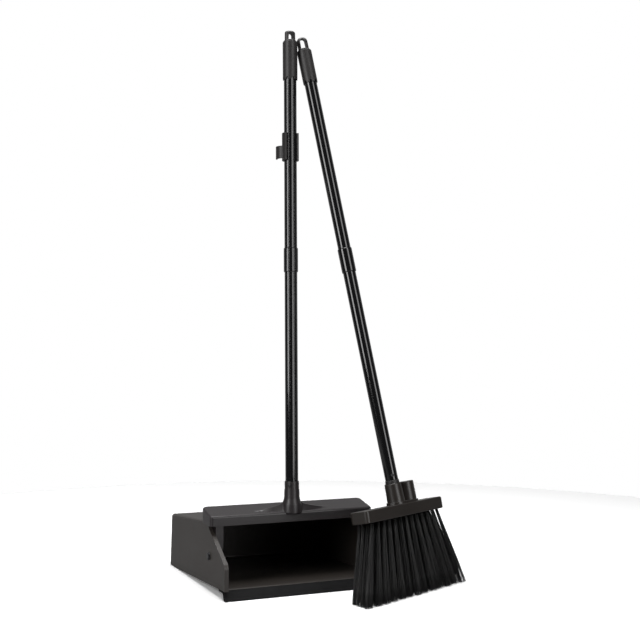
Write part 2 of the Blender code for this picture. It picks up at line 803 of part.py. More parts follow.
def grip(name, low, high, material, frame):
    """A sleeve grip whose lower end is scalloped."""
    bore = TUBE_RADIUS + GAP
    scallop = 0.0045
    body = turned(name, [
        (bore, low),
        (GRIP_RADIUS - 0.0003, low),
        (GRIP_RADIUS - 0.0001, low + 0.004),
        (GRIP_RADIUS, high - 0.002),
        (GRIP_RADIUS - 0.0008, high),
        (bore, high),
    ], material)
    for index in range(GRIP_FLUTES):
        angle = 2 * math.pi * index / GRIP_FLUTES
        turn = Matrix.Translation((0, 0, low)) @ Matrix.Rotation(angle, 4, "Z")
        notch = prism(f"{name}_notch_{index}", [
            (-0.0030, -0.002),
            (0.0030, -0.002),
            (0.0008, scallop),
            (-0.0008, scallop),
        ], TUBE_RADIUS - 0.003, GRIP_RADIUS + 0.002, place=turn)
        cut(body, notch)
    return attach(body, frame)


def hang_cap(name, seat, height, crown, material, frame, turn=0.0):
    """A plug in the tube's end, a flange on the grip, and a rounded tab with a slot through it."""
    body = turned(name, [
        (0, seat - CAP_PLUG_DEPTH),
        (PLUG_RADIUS - 0.001, seat - CAP_PLUG_DEPTH),
        (PLUG_RADIUS, seat - CAP_PLUG_DEPTH + 0.002),
        (PLUG_RADIUS, seat),
        (CAP_TAB_WIDTH / 2, seat),
        (CAP_TAB_WIDTH / 2, seat + CAP_FLANGE - 0.0006),
        (CAP_TAB_WIDTH / 2 - 0.0006, seat + CAP_FLANGE),
        (0, seat + CAP_FLANGE),
    ], material)
    place = Matrix.Rotation(turn, 4, "Z") @ Matrix.Diagonal((1, CAP_TAB_THICK / CAP_TAB_WIDTH, 1, 1))
    low_half = CAP_TAB_WIDTH / 2 - 0.0008
    crown_middle = (CAP_TAB_TOP_WIDTH / 2 - crown, seat + height - crown)
    profile = [(0, seat + 0.0008), (low_half, seat + 0.0008)]
    profile += arc(crown_middle, crown, 0, math.radians(90)) + [(0, seat + height)]
    fuse(body, turned(f"{name}_tab", profile, place=place))
    half = CAP_SLOT_WIDTH / 2
    slot_top = seat + height - CAP_SLOT_TOP
    slot = slot_prism(f"{name}_slot", [
        (-half, seat + CAP_FLANGE, 0.0015),
        (half, seat + CAP_FLANGE, 0.0015),
        (half - 0.0008, slot_top, 0.0038),
        (-half + 0.0008, slot_top, 0.0038),
    ], CAP_TAB_THICK * 2, turn)
    cut(body, slot)
    return attach(body, frame)


def slot_prism(name, corners, thick, turn):
    """A rounded (x, z) outline extruded along y, centred on y = 0 and turned about z."""
    place = Matrix.Rotation(turn - math.radians(90), 4, "Z")
    return prism(name, rounded(corners), -thick / 2, thick / 2, place=place)


def ring_outline(bore, outside, gap_middle, gap_half, centre_y=0.0, steps=20):
    """A C-shaped (x, y) outline whose gap is centred on the angle gap_middle."""
    start = gap_middle + gap_half
    end = gap_middle + 2 * math.pi - gap_half
    outer = arc((0, centre_y), outside, start, end, steps)
    inner = arc((0, centre_y), bore, end, start, steps)
    return outer + inner


def flat_prism(name, outline, low, high, material=None):
    """An (x, y) outline extruded along z."""
    bm = bmesh.new()
    face = bm.faces.new([bm.verts.new((x, y, low)) for x, y in outline])
    swept = bmesh.ops.extrude_face_region(bm, geom=[face])
    moved = [item for item in swept["geom"] if isinstance(item, bmesh.types.BMVert)]
    bmesh.ops.translate(bm, verts=moved, vec=(0, 0, high - low))
    return finish_mesh(bm, name, material)


def build_clip(materials, frame):
    """A tall saddle that grips the pan's tube from behind, and a jaw for the broom's tube."""
    bore = TUBE_RADIUS + GAP
    outside = bore + CLIP_WALL
    middle = (CLIP_HEIGHT - SOCKET_SEAT) / math.cos(HANDLE_RAKE)
    half = CLIP_SADDLE_LENGTH / 2
    front = math.radians(-90)
    clip = flat_prism("broom_clip", ring_outline(bore, outside, front, CLIP_SADDLE_OPENING),
                      -half, half, materials["grip_plastic"])
    jaw_low = -CLIP_JAW_LENGTH / 2 - 0.005
    jaw_high = jaw_low + CLIP_JAW_LENGTH
    jaw = flat_prism("clip_jaw", ring_outline(bore, outside - 0.0006, -front, CLIP_JAW_OPENING, CLIP_SPACING),
                     jaw_low, jaw_high)
    web_half = CLIP_WEB / 2
    web_back = CLIP_SPACING - bore - 0.0008
    web_front = bore + 0.0008
    web = flat_prism("clip_web", [(-web_half, web_front), (web_half, web_front),
                                  (web_half, web_back), (-web_half, web_back)],
                     jaw_low + 0.001, jaw_high - 0.001)
    fuse(clip, web)
    fuse(clip, jaw)
    return attach(clip, frame, (0, 0, middle))


# ---------------------------------------------------------------- broom head

def stadium(half_length, half_width, radius):
    return [(x, y) for x, y in rounded([
        (-half_length, -half_width, radius),
        (half_length, -half_width, radius),
        (half_length, half_width, radius),
        (-half_length, half_width, radius),
    ], 5)]


def broom_bosses():
    """Position and tilt of the two sockets: the handle's, and the spare one beside it."""
    return (("used", BOSS_OFFSET, -SOCKET_TILT), ("spare", BOSS_OFFSET + BOSS_SPACING, 0.0))


def boss_frame(x, tilt):
    return Matrix.Translation((x, 0, 0)) @ Matrix.Rotation(tilt, 4, "Y")


def row_offset(row):
    return (row - (ROW_COUNT - 1) / 2) * ROW_SPACING


def build_block(materials, frame):
    block = flat_prism("broom_block", stadium(BLOCK_LENGTH / 2, BLOCK_THICK / 2, BLOCK_END_ROUND),
                       -BLOCK_HEIGHT, 0, materials["block_plastic"])
    round_edges(block, lambda middle, way: abs(way.z) < 0.1, BLOCK_EDGE, 2)
    pad_half = BOSS_SPACING / 2 + BOSS_BASE_RADIUS + 0.0018
    pad_width = BOSS_BASE_RADIUS + 0.0018
    pad = flat_prism("boss_pad", stadium(pad_half, pad_width, pad_width - 0.0002), -0.002, BOSS_PAD)
    pad.location.x = BOSS_OFFSET + BOSS_SPACING / 2
    fuse(block, pad)
    for label, x, tilt in broom_bosses():
        boss = turned(f"boss_{label}", [
            (0, -0.003),
            (BOSS_BASE_RADIUS, -0.003),
            (BOSS_TOP_RADIUS, BOSS_HEIGHT - 0.0012),
            (BOSS_TOP_RADIUS - 0.0010, BOSS_HEIGHT),
            (0, BOSS_HEIGHT),
        ], place=boss_frame(x, tilt))
        fuse(block, boss)
    for label, x, tilt in broom_bosses():
        low = BOSS_HEIGHT - THREAD_DEPTH - 0.002
        place = boss_frame(x, tilt) @ HALF_FACET
        bore = turned(f"bore_{label}", rod(BORE_RADIUS, low, BOSS_HEIGHT + 0.01), place=place)
        cut(block, bore)
    for row in range(ROW_COUNT):
        cut(block, row_groove(row))
    return attach(block, frame)


def row_groove(row):
    half = BLOCK_LENGTH / 2 - 0.008 + GAP
    middle = row_offset(row)
    wide = ROW_STRIP_THICK / 2 + GAP
    return flat_prism(f"groove_{row}", [(-half, middle - wide), (half, middle - wide),
                                        (half, middle + wide), (-half, middle + wide)],
                      -BLOCK_HEIGHT - 0.005, -BLOCK_HEIGHT + ROW_STRIP_DEPTH + GAP)


def build_row(row, materials, frame, world):
    """One row: a root strip in its groove, and tufts that spread down to the floor."""
    half = BLOCK_LENGTH / 2 - 0.008
    middle = row_offset(row)
    wide = ROW_STRIP_THICK / 2
    top = -BLOCK_HEIGHT + ROW_STRIP_DEPTH
    strip = flat_prism(f"bristle_row_{row + 1}", [(-half, middle - wide), (half, middle - wide),
                                                  (half, middle + wide), (-half, middle + wide)],
                       -BLOCK_HEIGHT - 0.001, top, materials["bristle"])
    bm = bmesh.new()
    for index in range(TUFTS_PER_ROW):
        x = ((index + 0.5) / TUFTS_PER_ROW - 0.5) * TUFT_SPAN
        add_tuft(bm, x, middle, world)
    tufts = finish_mesh(bm, f"tufts_{row + 1}", None)
    fuse(strip, tufts)
    return attach(strip, frame)


def add_tuft(bm, x, y, world, sides=8):
    """A spreading tuft whose foot is trimmed where it meets the floor."""
    root_z = -BLOCK_HEIGHT + 0.003
    spacing = TUFT_SPAN / TUFTS_PER_ROW * TIP_SPREAD_LONG
    tip_long = spacing / 2 - 0.0006
    tip_wide = ROW_SPACING * TIP_SPREAD_WIDE / 2 - 0.0006
    inverse = world.inverted()
    roots = []
    feet = []
    for step in range(sides):
        angle = 2 * math.pi * (step + 0.5) / sides
        along, across = math.cos(angle), math.sin(angle)
        root = Vector((x + TUFT_ROOT_RADIUS * along, y + TUFT_ROOT_RADIUS * across, root_z))
        tip = Vector((x * TIP_SPREAD_LONG + TIP_DRIFT + tip_long * along,
                      y * TIP_SPREAD_WIDE + tip_wide * across, -BLOCK_RISE))
        start = world @ root
        end = world @ tip
        foot = start.lerp(end, start.z / (start.z - end.z))
        roots.append(bm.verts.new(root))
        feet.append(bm.verts.new(inverse @ foot))
    bm.faces.new(roots)
    bm.faces.new(feet[::-1])
    for step in range(sides):
        after = (step + 1) % sides
        bm.faces.new((roots[step], feet[step], feet[after], roots[after]))


def build_thread_tip(materials, frame):
    """The plug in the broom tube's foot: a spigot, a collar, and a tip that screws in."""
    top = BOSS_HEIGHT + GAP + COLLAR_THICK
    profile = [(0, BOSS_HEIGHT - THREAD_DEPTH), (THREAD_RADIUS - 0.003, BOSS_HEIGHT - THREAD_DEPTH)]
    z = BOSS_HEIGHT - THREAD_DEPTH + 0.003
    while z + THREAD_PITCH < BOSS_HEIGHT - 0.002:
        profile += [(THREAD_RADIUS - THREAD_TOOTH, z), (THREAD_RADIUS, z + THREAD_PITCH * 0.3)]
        profile += [(THREAD_RADIUS, z + THREAD_PITCH * 0.5), (THREAD_RADIUS - THREAD_TOOTH, z + THREAD_PITCH * 0.8)]
        z += THREAD_PITCH
    profile += [
        (THREAD_RADIUS - THREAD_TOOTH, BOSS_HEIGHT + GAP),
        (COLLAR_RADIUS, BOSS_HEIGHT + GAP),
        (COLLAR_RADIUS, top - 0.0006),
        (COLLAR_RADIUS - 0.0006, top),
        (PLUG_RADIUS, top),
        (PLUG_RADIUS, top + 0.028),
        (PLUG_RADIUS - 0.001, top + 0.030),
        (0, top + 0.030),
    ]
    tip = turned("broom_thread_tip", profile, materials["grip_plastic"])
    cut(tip, fastener_hole("tip_rivet_hole", top + RIVET_ABOVE_COLLAR))
    return attach(tip, frame)


# -------------------------------------------------------------------- layout

def broom_frames():
    """World frames of the broom's block and of its handle, leaning on the pan's grip.

    The handle's axis starts at a fixed place over the floor and is aimed so that the top
    rim of its grip rests beside the pan's grip.
    """
    start = Vector((HALF_BIN + BROOM_SIDE, -BROOM_FORWARD, BLOCK_RISE))
    reach = BROOM_REACH - BROOM_CAP_HEIGHT
    beside = 2 * GRIP_RADIUS + GAP * 2
    height = reach
    for _ in range(20):
        lean_back = (start.z + height - SOCKET_SEAT) * math.tan(HANDLE_RAKE)
        across = Vector((beside - start.x, HANDLE_Y + lean_back - start.y))
        height = math.sqrt(reach ** 2 - across.length_squared)
    axis = Vector((across.x, across.y, height)).normalized()
    along = Vector((math.cos(BROOM_YAW), math.sin(BROOM_YAW), 0))
    behind = Vector((-math.sin(BROOM_YAW), math.cos(BROOM_YAW), 0))
    lean = math.atan2(axis.dot(behind), axis.z)
    side_lean = math.asin(-axis.dot(along))
    turn = frame_rotation(along, behind)
    turn = turn @ Matrix.Rotation(-lean, 4, "X")
    handle = Matrix.Translation(start) @ turn @ Matrix.Rotation(-side_lean, 4, "Y")
    block_turn = turn @ Matrix.Rotation(-side_lean + SOCKET_TILT, 4, "Y")
    block = Matrix.Translation(start) @ block_turn @ Matrix.Translation((-BOSS_OFFSET, 0, 0))
    return block, handle


def frame_rotation(along, behind):
    columns = Matrix((along, behind, along.cross(behind))).transposed()
    return columns.to_4x4()


def build_pan(materials):
    build_bin(materials)
    build_lip(materials)
    list(build_pins(materials))
    pivot = empty("hood_pivot", Matrix.Translation((0, PIVOT_Y, PIVOT_Z)))
    seat = Matrix.Translation((0, HANDLE_Y, SOCKET_SEAT)) @ Matrix.Rotation(-HANDLE_RAKE, 4, "X")
    hood = build_hood(materials, seat)
    attach(hood, pivot, (0, -PIVOT_Y, -PIVOT_Z))
    frame = empty("pan_handle_axis", Matrix.Translation((0, -PIVOT_Y, -PIVOT_Z)) @ seat, pivot)
    joint = (PAN_JOINT_HEIGHT - SOCKET_SEAT) / math.cos(HANDLE_RAKE)
    cap_seat = HANDLE_LENGTH - PAN_CAP_HEIGHT
    tubes = two_piece_handle("pan", GAP, joint, cap_seat - GAP, materials, frame)
    screw_height = SOCKET_LENGTH - SCREW_BELOW_TOP
    cut(tubes[0], fastener_hole("pan_tube_screw_hole", screw_height))
    fastener("socket_screw", screw_height, SOCKET_TOP_RADIUS + 0.0002, materials["dark_steel"], frame)
    grip("pan_grip", cap_seat - PAN_GRIP_LENGTH, cap_seat - GAP, materials["grip_plastic"], frame)
    hang_cap("pan_hang_cap", cap_seat, PAN_CAP_HEIGHT, PAN_CAP_ROUND, materials["grip_plastic"], frame)
    build_clip(materials, frame)


def build_broom(materials):
    block_world, handle_world = broom_frames()
    block_frame = empty("broom_head_axis", block_world)
    frame = empty("broom_handle_axis", handle_world)
    build_block(materials, block_frame)
    for row in range(ROW_COUNT):
        build_row(row, materials, block_frame, block_world)
    build_thread_tip(materials, frame)
    collar_top = BOSS_HEIGHT + GAP + COLLAR_THICK
    cap_seat = BROOM_REACH - BROOM_CAP_HEIGHT
    tubes = two_piece_handle("broom", collar_top + GAP, BROOM_JOINT_REACH, cap_seat - GAP, materials, frame)
    rivet_height = collar_top + RIVET_ABOVE_COLLAR
    cut(tubes[0], fastener_hole("broom_tube_rivet_hole", rivet_height))
    fastener("tip_rivet", rivet_height, TUBE_RADIUS, materials["dark_steel"], frame)
    grip("broom_grip", cap_seat - BROOM_GRIP_LENGTH, cap_seat - GAP, materials["grip_plastic"], frame)
    hang_cap("broom_hang_cap", cap_seat, BROOM_CAP_HEIGHT, BROOM_CAP_ROUND, materials["grip_plastic"], frame,
             BROOM_CAP_TURN)


def stand_on_origin():
    """Slides the set so that the origin is under the bin's flat heel."""
    for obj in bpy.context.scene.objects:
        if obj.parent is None:
            obj.location.y -= BIN_DEPTH - ORIGIN_AHEAD_OF_BACK


def main():
    clear_scene()
    materials = make_materials()
    build_pan(materials)
    build_broom(materials)
    stand_on_origin()


main()
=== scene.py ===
"""Finishes, bristles and studio for an upright dust pan with a broom leaning on its handle."""
import json
import math
import random

import bmesh
import bpy
from mathutils import Matrix, Vector

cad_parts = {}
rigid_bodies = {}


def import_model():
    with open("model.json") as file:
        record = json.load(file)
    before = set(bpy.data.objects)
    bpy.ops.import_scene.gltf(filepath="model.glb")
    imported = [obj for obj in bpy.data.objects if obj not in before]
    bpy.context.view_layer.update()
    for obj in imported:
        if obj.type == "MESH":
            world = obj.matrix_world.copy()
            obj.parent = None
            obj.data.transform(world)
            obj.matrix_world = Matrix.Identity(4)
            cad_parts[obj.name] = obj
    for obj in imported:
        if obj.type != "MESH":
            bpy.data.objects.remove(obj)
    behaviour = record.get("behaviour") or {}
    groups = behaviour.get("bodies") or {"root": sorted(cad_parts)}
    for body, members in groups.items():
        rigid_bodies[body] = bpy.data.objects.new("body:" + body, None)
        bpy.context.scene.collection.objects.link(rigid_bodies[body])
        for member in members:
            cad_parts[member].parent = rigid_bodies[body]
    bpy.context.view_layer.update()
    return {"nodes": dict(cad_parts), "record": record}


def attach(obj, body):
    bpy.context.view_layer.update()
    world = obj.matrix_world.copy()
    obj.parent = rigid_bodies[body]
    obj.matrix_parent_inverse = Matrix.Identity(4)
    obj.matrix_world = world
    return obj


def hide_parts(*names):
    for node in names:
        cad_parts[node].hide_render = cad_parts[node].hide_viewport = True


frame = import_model()

# Camera, in the frame's metres
CAMERA_PLACE = (-0.70059, -1.9110, 0.41608)
CAMERA_YAW = 0.41448
CAMERA_PITCH = 0.02011
CAMERA_ROLL = 0.00492
CAMERA_LENS = 60.334
CAMERA_SENSOR = 36

# Bristle tufts, as the stand-in rows have them
ROW_COUNT = 4
TUFTS_PER_ROW = 13
TUFT_SPAN = 0.190
ROW_SPACING = 0.0088
TUFT_ROOT_RADIUS = 0.0023
TIP_SPREAD_LONG = 1.42
TIP_SPREAD_WIDE = 1.15
TIP_DRIFT = -0.004
TUFT_REACH = 0.143

# Bristles within a tuft
BRISTLES_PER_TUFT = 96
BRISTLE_WIDTH = 0.00062
STRAND_STEPS = 5
STRAND_BOW = 0.0006
ROOT_DEPTH = 0.003
TIP_FILL_LONG = 0.86
TIP_FILL_WIDE = 0.90
TIP_SCATTER = 0.0005
TUFT_LEAN_LONG = 0.0010
TUFT_LEAN_WIDE = 0.0008
FOOT_CLEARANCE = 0.0002
FOOT_TRIM = 0.0003
FOOT_TAPER = 0.45
TAPER_START = 0.8
SHADE_CURVE = 1.8
FIRST_SEED = 40

# Rounding of the moulded pieces' edges
MERGE_DISTANCE = 0.000002
FLAT_ANGLE = math.radians(0.4)
SHARP_ANGLE = math.radians(32)
SMOOTH_ANGLE = math.radians(45)
ROUNDING_SEGMENTS = 2
ROUNDINGS = {
    "pan_bin": 0.0005,
    "hood": 0.0006,
    "pan_lip": 0.0003,
    "broom_clip": 0.0004,
    "broom_block": 0.0006,
    "pan_hang_cap": 0.0005,
    "broom_hang_cap": 0.0005,
    "pan_grip": 0.0003,
    "broom_grip": 0.0003,
}

# Studio
AIM_Y = -0.2
FLOOR_RADIUS = 1.35
FLOOR_DROP = 0.0004
FLOOR_TO_EYE = 1.30
FLOOR_IN_GLOSS = 0.30
PANEL_DISTANCE = 2.3
PANEL_TOP = 2.2
# The room's shade from beside and behind the camera (0) to straight ahead of it (1)
ROOM_SHADES = [(0.0, 0.05), (0.10, 0.06), (0.45, 0.18), (0.68, 0.50), (0.86, 0.42), (1.0, 0.30)]


def body_of(node):
    for body, nodes in frame["record"]["behaviour"]["bodies"].items():
        if node in nodes:
            return body
    raise ValueError(node)


def slot_of(node):
    for part in frame["record"]["subparts"]:
        if part["node"] == node:
            return part["material_slot"]
    raise ValueError(node)


# ------------------------------------------------------------- shader maths

class Value:
    """A shader socket that adds a Math node when it is used in an expression."""

    def __init__(self, nodes, socket):
        self.nodes = nodes
        self.socket = socket

    def math(self, operation, first, second=0.0, clamp=False):
        settings = {"operation": operation, "use_clamp": clamp}
        return self.nodes.node("ShaderNodeMath", settings, {0: first, 1: second})

    def __add__(self, other):
        return self.math("ADD", self, other)

    __radd__ = __add__

    def __sub__(self, other):
        return self.math("SUBTRACT", self, other)

    def __rsub__(self, other):
        return self.math("SUBTRACT", other, self)

    def __mul__(self, other):
        return self.math("MULTIPLY", self, other)

    __rmul__ = __mul__

    def clamped(self):
        return self.math("ADD", self, 0.0, clamp=True)


class Nodes:
    """A node tree whose nodes all come from one method."""

    def __init__(self, tree):
        self.tree = tree

    def feed(self, socket, value):
        if isinstance(value, Value):
            self.tree.links.new(value.socket, socket)
        else:
            socket.default_value = value

    def node(self, kind, settings=None, sockets=None, out=0):
        made = self.tree.nodes.new(kind)
        for key, value in (settings or {}).items():
            if key == "stops":
                self.set_stops(made.color_ramp, value)
            else:
                setattr(made, key, value)
        for key, value in (sockets or {}).items():
            self.feed(made.inputs[key], value)
        return Value(self, made.outputs[out])

    def set_stops(self, ramp, stops):
        while len(ramp.elements) < len(stops):
            ramp.elements.new(1.0)
        for element, (position, shade) in zip(ramp.elements, stops):
            element.position = position
            element.color = (shade, shade, shade, 1.0)

    def mix(self, share, first, second):
        return self.node("ShaderNodeMix", {"data_type": "RGBA"}, {0: share, 6: first, 7: second}, out=2)

    def to_camera(self):
        return self.node("ShaderNodeLightPath", out="Is Camera Ray")


class Finish(Nodes):
    """A Principled material, with short calls for its nodes."""

    def __init__(self, name, colour, roughness, metallic=0.0):
        self.material = bpy.data.materials.new(name)
        self.material.use_nodes = True
        super().__init__(self.material.node_tree)
        self.shader = self.tree.nodes["Principled BSDF"]
        self.set("Base Color", (*colour, 1.0))
        self.set("Roughness", roughness)
        self.set("Metallic", metallic)
        self.material.diffuse_color = (*colour, 1.0)
        self.place = self.node("ShaderNodeTexCoord", out="Object")

    def set(self, socket, value):
        self.feed(self.shader.inputs[socket], value)

    def noise(self, scale, detail=2.0, stretch=(1, 1, 1), roughness=0.5):
        where = self.node("ShaderNodeMapping", {}, {"Vector": self.place, "Scale": stretch})
        return self.node("ShaderNodeTexNoise", {}, {
            "Vector": where, "Scale": scale, "Detail": detail, "Roughness": roughness})

    def bump(self, height, strength, distance):
        sockets = {"Height": height, "Strength": strength, "Distance": distance}
        return self.node("ShaderNodeBump", {}, sockets)


# ---------------------------------------------------------------- finishes

def moulded_plastic(name, colour, roughness, grain=0.10, dust=0.20):
    """Black polypropylene: a fine mould grain, soft flow marks and a little dust."""
    finish = Finish(name, colour, roughness)
    fine = finish.noise(2600, 3.0)
    flow = finish.noise(9, 3.0, (1, 1, 2.4), 0.6)
    scuff = finish.noise(160, 5.0, (1, 1, 0.12), 0.7)
    marks = (scuff - 0.60).clamped() * 3.0
    pale = tuple(channel * 1.9 + 0.006 for channel in colour)
    dull = tuple(channel * 0.80 for channel in colour)
    shade = finish.mix(flow, (*dull, 1), (*(c * 1.25 for c in colour), 1))
    shade = finish.mix((marks * dust).clamped(), shade, (*pale, 1))
    finish.set("Base Color", shade)
    finish.set("Roughness", (roughness - 0.06) + flow * 0.10 + fine * 0.05 + marks * 0.12)
    finish.set("Normal", finish.bump(fine, grain, 0.0004))
    return finish.material


def gloss_paint():
    """Black coating on thin tube, with a long, faint waviness and a few hairline rubs."""
    finish = Finish("gloss_black_tube", (0.0040, 0.0040, 0.0045), 0.13)
    wave = finish.noise(55, 1.0, (1, 1, 0.15))
    rub = finish.noise(700, 2.0, (1, 1, 0.015), 0.5)
    hairline = (rub - 0.64).clamped() * 2.5
    finish.set("Roughness", 0.115 + wave * 0.03 + hairline * 0.20)
    finish.set("Normal", finish.bump(wave, 0.05, 0.0004))
    finish.set("Coat Weight", 0.30)
    finish.set("Coat Roughness", 0.07)
    return finish.material


def lip_strip():
    """Soft strip along the pan's lip: matte, with fine lines along it."""
    finish = Finish("soft_lip_strip", (0.010, 0.010, 0.0105), 0.62)
    finish.set("Specular IOR Level", 0.06)
    lines = finish.noise(700, 2.0, (0.02, 1, 1))
    wear = finish.noise(60, 4.0, (1, 1, 1), 0.6)
    finish.set("Base Color", finish.mix(wear, (0.007, 0.007, 0.0073, 1), (0.015, 0.015, 0.0155, 1)))
    finish.set("Roughness", 0.52 + wear * 0.18)
    finish.set("Normal", finish.bump(lines, 0.22, 0.0005))
    return finish.material


def black_steel():
    finish = Finish("blackened_steel", (0.060, 0.060, 0.063), 0.32, 0.9)
    turned = finish.noise(1400, 2.0)
    finish.set("Roughness", 0.26 + turned * 0.16)
    finish.set("Normal", finish.bump(turned, 0.12, 0.0003))
    return finish.material


def bristle_fibre():
    """Extruded fibre: its shade and gloss change from strand to strand."""
    finish = Finish("bristle_fibre", (0.012, 0.012, 0.013), 0.34)
    tint = finish.node("ShaderNodeAttribute", {"attribute_name": "strand_shade"}, out="Fac")
    finish.set("Base Color", finish.mix(tint, (0.008, 0.008, 0.0085, 1), (0.065, 0.064, 0.064, 1)))
    finish.set("Roughness", 0.28 + tint * 0.20)
    return finish.material


def make_finishes():
    return {
        "bin_plastic": moulded_plastic("bin_black_plastic", (0.0270, 0.0225, 0.0195), 0.42),
        "hood_plastic": moulded_plastic("hood_black_plastic", (0.0170, 0.0138, 0.0148), 0.36, 0.08),
        "lip_rubber": lip_strip(),
        "tube_paint": gloss_paint(),
        "grip_plastic": moulded_plastic("grip_black_plastic", (0.0145, 0.0128, 0.0128), 0.44, 0.12),
        "block_plastic": moulded_plastic("block_black_plastic", (0.0185, 0.0150, 0.0125), 0.34, 0.06),
        "bristle": bristle_fibre(),
        "dark_steel": black_steel(),
    }


# ------------------------------------------------------------------ pieces

def deselect_all():
    for obj in bpy.context.view_layer.objects:
        obj.select_set(False)


def make_active(obj):
    deselect_all()
    obj.select_set(True)
    bpy.context.view_layer.objects.active = obj


def place_piece(piece, node, finish):
    """Gives a piece its finish, and its body from the node that it stands for, and hides that node."""
    piece.data.materials.clear()
    piece.data.materials.append(finish)
    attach(piece, body_of(node))
    slot_of(node)
    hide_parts(node)
    return piece


def soften(node, width, finish):
    """A copy of a node whose sharp edges are rounded off by a small bevel."""
    mesh = frame["nodes"][node].data.copy()
    mesh.name = f"{node}_rounded"
    piece = bpy.data.objects.new(f"{node}_rounded", mesh)
    bpy.context.scene.collection.objects.link(piece)
    bm = bmesh.new()
    bm.from_mesh(mesh)
    bmesh.ops.remove_doubles(bm, verts=bm.verts, dist=MERGE_DISTANCE)
    bmesh.ops.dissolve_limit(bm, angle_limit=FLAT_ANGLE, verts=bm.verts, edges=bm.edges)
    bm.to_mesh(mesh)
    bm.free()
    make_active(piece)
    bevel = piece.modifiers.new("rounding", "BEVEL")
    bevel.width = width
    bevel.segments = ROUNDING_SEGMENTS
    bevel.limit_method = "ANGLE"
    bevel.angle_limit = SHARP_ANGLE
    bevel.miter_outer = "MITER_ARC"
    bpy.ops.object.modifier_apply(modifier=bevel.name)
    bpy.ops.object.shade_smooth_by_angle(angle=SMOOTH_ANGLE)
    flatten = piece.modifiers.new("flat_faces", "WEIGHTED_NORMAL")
    flatten.keep_sharp = True
    bpy.ops.object.modifier_apply(modifier=flatten.name)
    return place_piece(piece, node, finish)


# ---------------------------------------------------------------- bristles

def block_axes():
    """The block's long, cross and upright axes and the middle of its top face, from its flat faces."""
    mesh = frame["nodes"]["broom_block"].data
    areas = {}
    for face in mesh.polygons:
        key = tuple(round(c, 3) for c in face.normal)
        total, weighted, middle = areas.get(key, (0.0, Vector(), Vector()))
        areas[key] = (
            total + face.area,
            weighted + face.normal * face.area,
            middle + face.center * face.area,
        )
    top = max((v for k, v in areas.items() if k[2] > 0.8), key=lambda v: v[0])
    side = max((v for k, v in areas.items() if abs(k[2]) < 0.5 and k[1] > 0), key=lambda v: v[0])
    up = top[1].normalized()
    across = side[1].normalized()
    along = across.cross(up).normalized()
    spread = [v.co.dot(along) for v in mesh.vertices]
    wide = [v.co.dot(across) for v in mesh.vertices]
    height = (top[2] / top[0]).dot(up)
    origin = along * (max(spread) + min(spread)) / 2 + across * (max(wide) + min(wide)) / 2 + up * height
    turn = Matrix((along, across, up)).transposed().to_4x4()
    return Matrix.Translation(origin) @ turn


def strand_form():
    """One upright strand of unit length and radius, as points and faces."""
    deselect_all()
    bpy.ops.mesh.primitive_cylinder_add(vertices=3, radius=1.0, depth=1.0, location=(0, 0, 0.5))
    strand = bpy.context.object
    bpy.ops.object.mode_set(mode="EDIT")
    for step in range(1, STRAND_STEPS):
        bpy.ops.mesh.select_all(action="SELECT")
        bpy.ops.mesh.bisect(plane_co=(0, 0, step / STRAND_STEPS), plane_no=(0, 0, 1))
    bpy.ops.object.mode_set(mode="OBJECT")
    points = [strand.matrix_world @ vert.co for vert in strand.data.vertices]
    faces = [tuple(face.vertices) for face in strand.data.polygons]
    bpy.data.objects.remove(strand, do_unlink=True)
    return points, faces


def lay_strand(form, verts, faces, ends, bend, radius):
    """A copy of the strand between two points, with a slight bow and a thinner foot."""
    start, end = ends
    axis = (end - start).normalized()
    side = axis.orthogonal().normalized()
    other = axis.cross(side)
    first = len(verts)
    for point in form[0]:
        share = point.z
        thick = radius * (1.0 - FOOT_TAPER * max(0.0, share - TAPER_START) / (1.0 - TAPER_START))
        bow = bend * math.sin(math.pi * share) * share
        verts.append(start.lerp(end, share) + bow + (side * point.x + other * point.y) * thick)
    faces.extend(tuple(first + corner for corner in face) for face in form[1])


def tuft_strands(dice, x, middle, block_bottom, axes):
    """Ends and bow of each strand in one tuft, which fans out from its hole to the floor."""
    tip_long = TUFT_SPAN / TUFTS_PER_ROW * TIP_SPREAD_LONG / 2 * TIP_FILL_LONG
    tip_wide = ROW_SPACING * TIP_SPREAD_WIDE / 2 * TIP_FILL_WIDE
    root_height = block_bottom + ROOT_DEPTH
    lean = Vector((dice.gauss(0, TUFT_LEAN_LONG), dice.gauss(0, TUFT_LEAN_WIDE), 0))
    for _ in range(BRISTLES_PER_TUFT):
        reach = math.sqrt(dice.random())
        angle = dice.random() * math.tau
        along, across = reach * math.cos(angle), reach * math.sin(angle)
        root = Vector((x + TUFT_ROOT_RADIUS * along, middle + TUFT_ROOT_RADIUS * across, root_height))
        tip = lean + Vector((
            x * TIP_SPREAD_LONG + TIP_DRIFT + tip_long * along + dice.gauss(0, TIP_SCATTER),
            middle * TIP_SPREAD_WIDE + tip_wide * across + dice.gauss(0, TIP_SCATTER),
            -TUFT_REACH,
        ))
        start, end = axes @ root, axes @ tip
        trim = FOOT_CLEARANCE + abs(dice.gauss(0, FOOT_TRIM))
        foot = start.lerp(end, (start.z - trim) / (start.z - end.z))
        yield (start, foot), Vector((dice.gauss(0, STRAND_BOW), dice.gauss(0, STRAND_BOW), 0))


